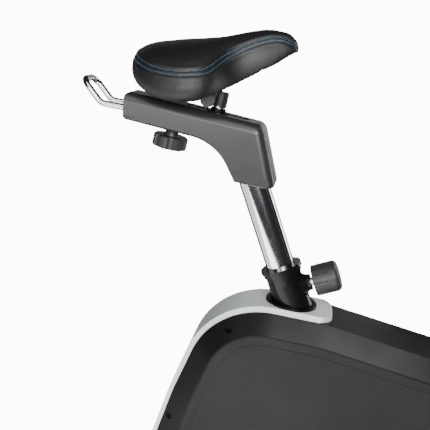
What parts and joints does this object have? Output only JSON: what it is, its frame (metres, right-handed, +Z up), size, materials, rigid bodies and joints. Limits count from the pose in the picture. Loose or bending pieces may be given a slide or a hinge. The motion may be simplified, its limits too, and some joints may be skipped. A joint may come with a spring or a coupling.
{
  "type": "exercise bike",
  "caption": "Upright exercise bike with padded saddle on a chrome post, sliding seat arm with star knob, moulded drive cover, pedals, mast, handlebar and console.",
  "frame": {"origin": "on the floor, under the middle of the bike's bounding box", "axes": "+X to the front of the bike, +Y to the rider's left, +Z up"},
  "size_m": [1.086, 0.4882, 1.2233],
  "materials": {
    "chrome": "mirror chrome",
    "arm_grey": "satin gunmetal",
    "black_plastic": "fine moulded texture",
    "black_gloss": "semi-gloss",
    "knob_grey": "satin",
    "silver_plastic": "satin silver-grey",
    "panel_grey": "fine texture",
    "saddle_black": "fine grain with blue double stitching",
    "frame_black": "powder coat",
    "steel": "plain",
    "zinc": "zinc plated",
    "iron": "machined rim",
    "rubber": "matt",
    "crank_metal": "black satin",
    "pedal_plastic": "moulded",
    "screen": "display window",
    "button": "moulded keys",
    "bush": "natural"
  },
  "bodies": {
    "main_frame": {"seat_collar": "black_gloss", "collar_flange": "black_plastic", "post_bush": "bush", "left_cover": "black_plastic", "right_cover": "black_plastic", "trim_band": "silver_plastic", "inset_panels": "panel_grey", "cover_screws": "frame_black", "spine_tube": "frame_black", "seat_tube": "frame_black", "crank_bracket": "frame_black", "flywheel_brackets": "steel", "mast_base": "frame_black", "front_stabiliser": "frame_black", "rear_stabiliser": "frame_black", "stabiliser_end_caps": "black_plastic", "wheel_yokes": "black_plastic", "stabiliser_bolts": "zinc", "crank_bearings": "steel", "drive_belt": "rubber", "console_mast": "frame_black", "mast_shroud": "black_plastic", "handlebar_clamp": "frame_black", "console_housing": "black_plastic", "console_screen": "screen"},
    "seat_post": {"seat_post": "chrome", "seat_arm": "arm_grey"},
    "saddle_slide": {"arm_slide_rail": "steel", "loop_handle": "chrome", "stem_collar": "black_plastic", "saddle_clamp": "frame_black", "clamp_bolt": "frame_black"},
    "saddle": {"saddle_bracket": "frame_black", "saddle_base": "black_plastic", "saddle_cushion": "saddle_black"},
    "height_knob": {"height_plunger": "chrome", "height_knob": "knob_grey"},
    "star_knob": {"star_knob": "knob_grey"},
    "crankset": {"crank_axle": "steel", "drive_pulley": "pedal_plastic", "right_crank": "crank_metal", "left_crank": "crank_metal"},
    "right_pedal": {"right_pedal": "pedal_plastic", "right_pedal_strap": "rubber"},
    "left_pedal": {"left_pedal": "pedal_plastic", "left_pedal_strap": "rubber"},
    "flywheel": {"flywheel": "iron", "flywheel_pulley": "steel"},
    "idler": {"idler_roller": "pedal_plastic"},
    "magnet_bracket": {"magnet_bracket": "steel"},
    "transport_wheel_right": {"transport_wheel_right": "rubber"},
    "transport_wheel_left": {"transport_wheel_left": "rubber"},
    "levelling_foot_right": {"levelling_foot_right": "rubber"},
    "levelling_foot_left": {"levelling_foot_left": "rubber"},
    "handlebar": {"handlebar": "frame_black", "handlebar_grips": "rubber"},
    "clamp_knob": {"clamp_knob": "knob_grey"},
    "button_right": {"console_button_right": "button"},
    "button_middle": {"console_button_middle": "button"},
    "button_left": {"console_button_left": "button"}
  },
  "joints": [
    {"name": "seat_height", "type": "slide", "parent": "main_frame", "child": "seat_post", "axis": [-0.3152, 0, 0.949], "range_m": [-0.1, 0.09]},
    {"name": "height_knob_pull", "type": "slide", "parent": "main_frame", "child": "height_knob", "axis": [0.949, 0, 0.3152], "range_m": [0, 0.008], "stiffness_N_per_m": 600, "springref_m": -0.006},
    {"name": "seat_fore_aft", "type": "slide", "parent": "seat_post", "child": "saddle_slide", "axis": [0.974, 0, -0.2267], "range_m": [-0.04, 0.04]},
    {"name": "star_knob_turn", "type": "hinge", "parent": "seat_post", "child": "star_knob", "pos_m": [-0.35378, 0, 0.80493], "axis": [0.2267, 0, 0.974], "range_deg": [-170, 170]},
    {"name": "saddle_tilt", "type": "hinge", "parent": "saddle_slide", "child": "saddle", "pos_m": [-0.28523, 0, 0.87008], "axis": [0, 1, 0], "range_deg": [-4, 4]},
    {"name": "crank_spin", "type": "hinge", "parent": "main_frame", "child": "crankset", "pos_m": [0.125, 0, 0.29], "axis": [0, 1, 0], "continuous": true},
    {"name": "pedal_spin_right", "type": "hinge", "parent": "crankset", "child": "right_pedal", "pos_m": [0.29129, -0.148, 0.25466], "axis": [0, 1, 0], "continuous": true},
    {"name": "pedal_spin_left", "type": "hinge", "parent": "crankset", "child": "left_pedal", "pos_m": [-0.04129, 0.148, 0.32534], "axis": [0, 1, 0], "continuous": true},
    {"name": "flywheel_spin", "type": "hinge", "parent": "main_frame", "child": "flywheel", "pos_m": [-0.265, 0, 0.21], "axis": [0, 1, 0], "continuous": true},
    {"name": "idler_spin", "type": "hinge", "parent": "main_frame", "child": "idler", "pos_m": [-0.0656, 0.045, 0.17438], "axis": [0, 1, 0], "continuous": true},
    {"name": "magnet_bracket_swing", "type": "hinge", "parent": "main_frame", "child": "magnet_bracket", "pos_m": [-0.167, 0, 0.114], "axis": [0, 1, 0], "range_deg": [0, 4]},
    {"name": "transport_wheel_spin_right", "type": "hinge", "parent": "main_frame", "child": "transport_wheel_right", "pos_m": [0.526, -0.115, 0.024], "axis": [0, 1, 0], "continuous": true},
    {"name": "transport_wheel_spin_left", "type": "hinge", "parent": "main_frame", "child": "transport_wheel_left", "pos_m": [0.526, 0.115, 0.024], "axis": [0, 1, 0], "continuous": true},
    {"name": "levelling_foot_turn_right", "type": "hinge", "parent": "main_frame", "child": "levelling_foot_right", "pos_m": [-0.512, -0.145, 0.005], "axis": [0, 0, 1], "range_deg": [-180, 180]},
    {"name": "levelling_foot_turn_left", "type": "hinge", "parent": "main_frame", "child": "levelling_foot_left", "pos_m": [-0.512, 0.145, 0.005], "axis": [0, 0, 1], "range_deg": [-180, 180]},
    {"name": "handlebar_tilt", "type": "hinge", "parent": "main_frame", "child": "handlebar", "pos_m": [0.236, 0, 1.052], "axis": [0, 1, 0], "range_deg": [-15, 15]},
    {"name": "clamp_knob_turn", "type": "hinge", "parent": "main_frame", "child": "clamp_knob", "pos_m": [0.236, 0, 0.992], "axis": [0, 0, 1], "range_deg": [-30, 30]},
    {"name": "button_press_right", "type": "slide", "parent": "main_frame", "child": "button_right", "axis": [0.6157, 0, -0.788], "range_m": [0, 0.002], "stiffness_N_per_m": 300, "springref_m": -0.001},
    {"name": "button_press_middle", "type": "slide", "parent": "main_frame", "child": "button_middle", "axis": [0.6157, 0, -0.788], "range_m": [0, 0.002], "stiffness_N_per_m": 300, "springref_m": -0.001},
    {"name": "button_press_left", "type": "slide", "parent": "main_frame", "child": "button_left", "axis": [0.6157, 0, -0.788], "range_m": [0, 0.002], "stiffness_N_per_m": 300, "springref_m": -0.001}
  ],
  "couplings": [
    {"joint": "flywheel_spin", "follows": "crank_spin", "ratio": 6.8571},
    {"joint": "idler_spin", "follows": "crank_spin", "ratio": -5.4611}
  ]
}
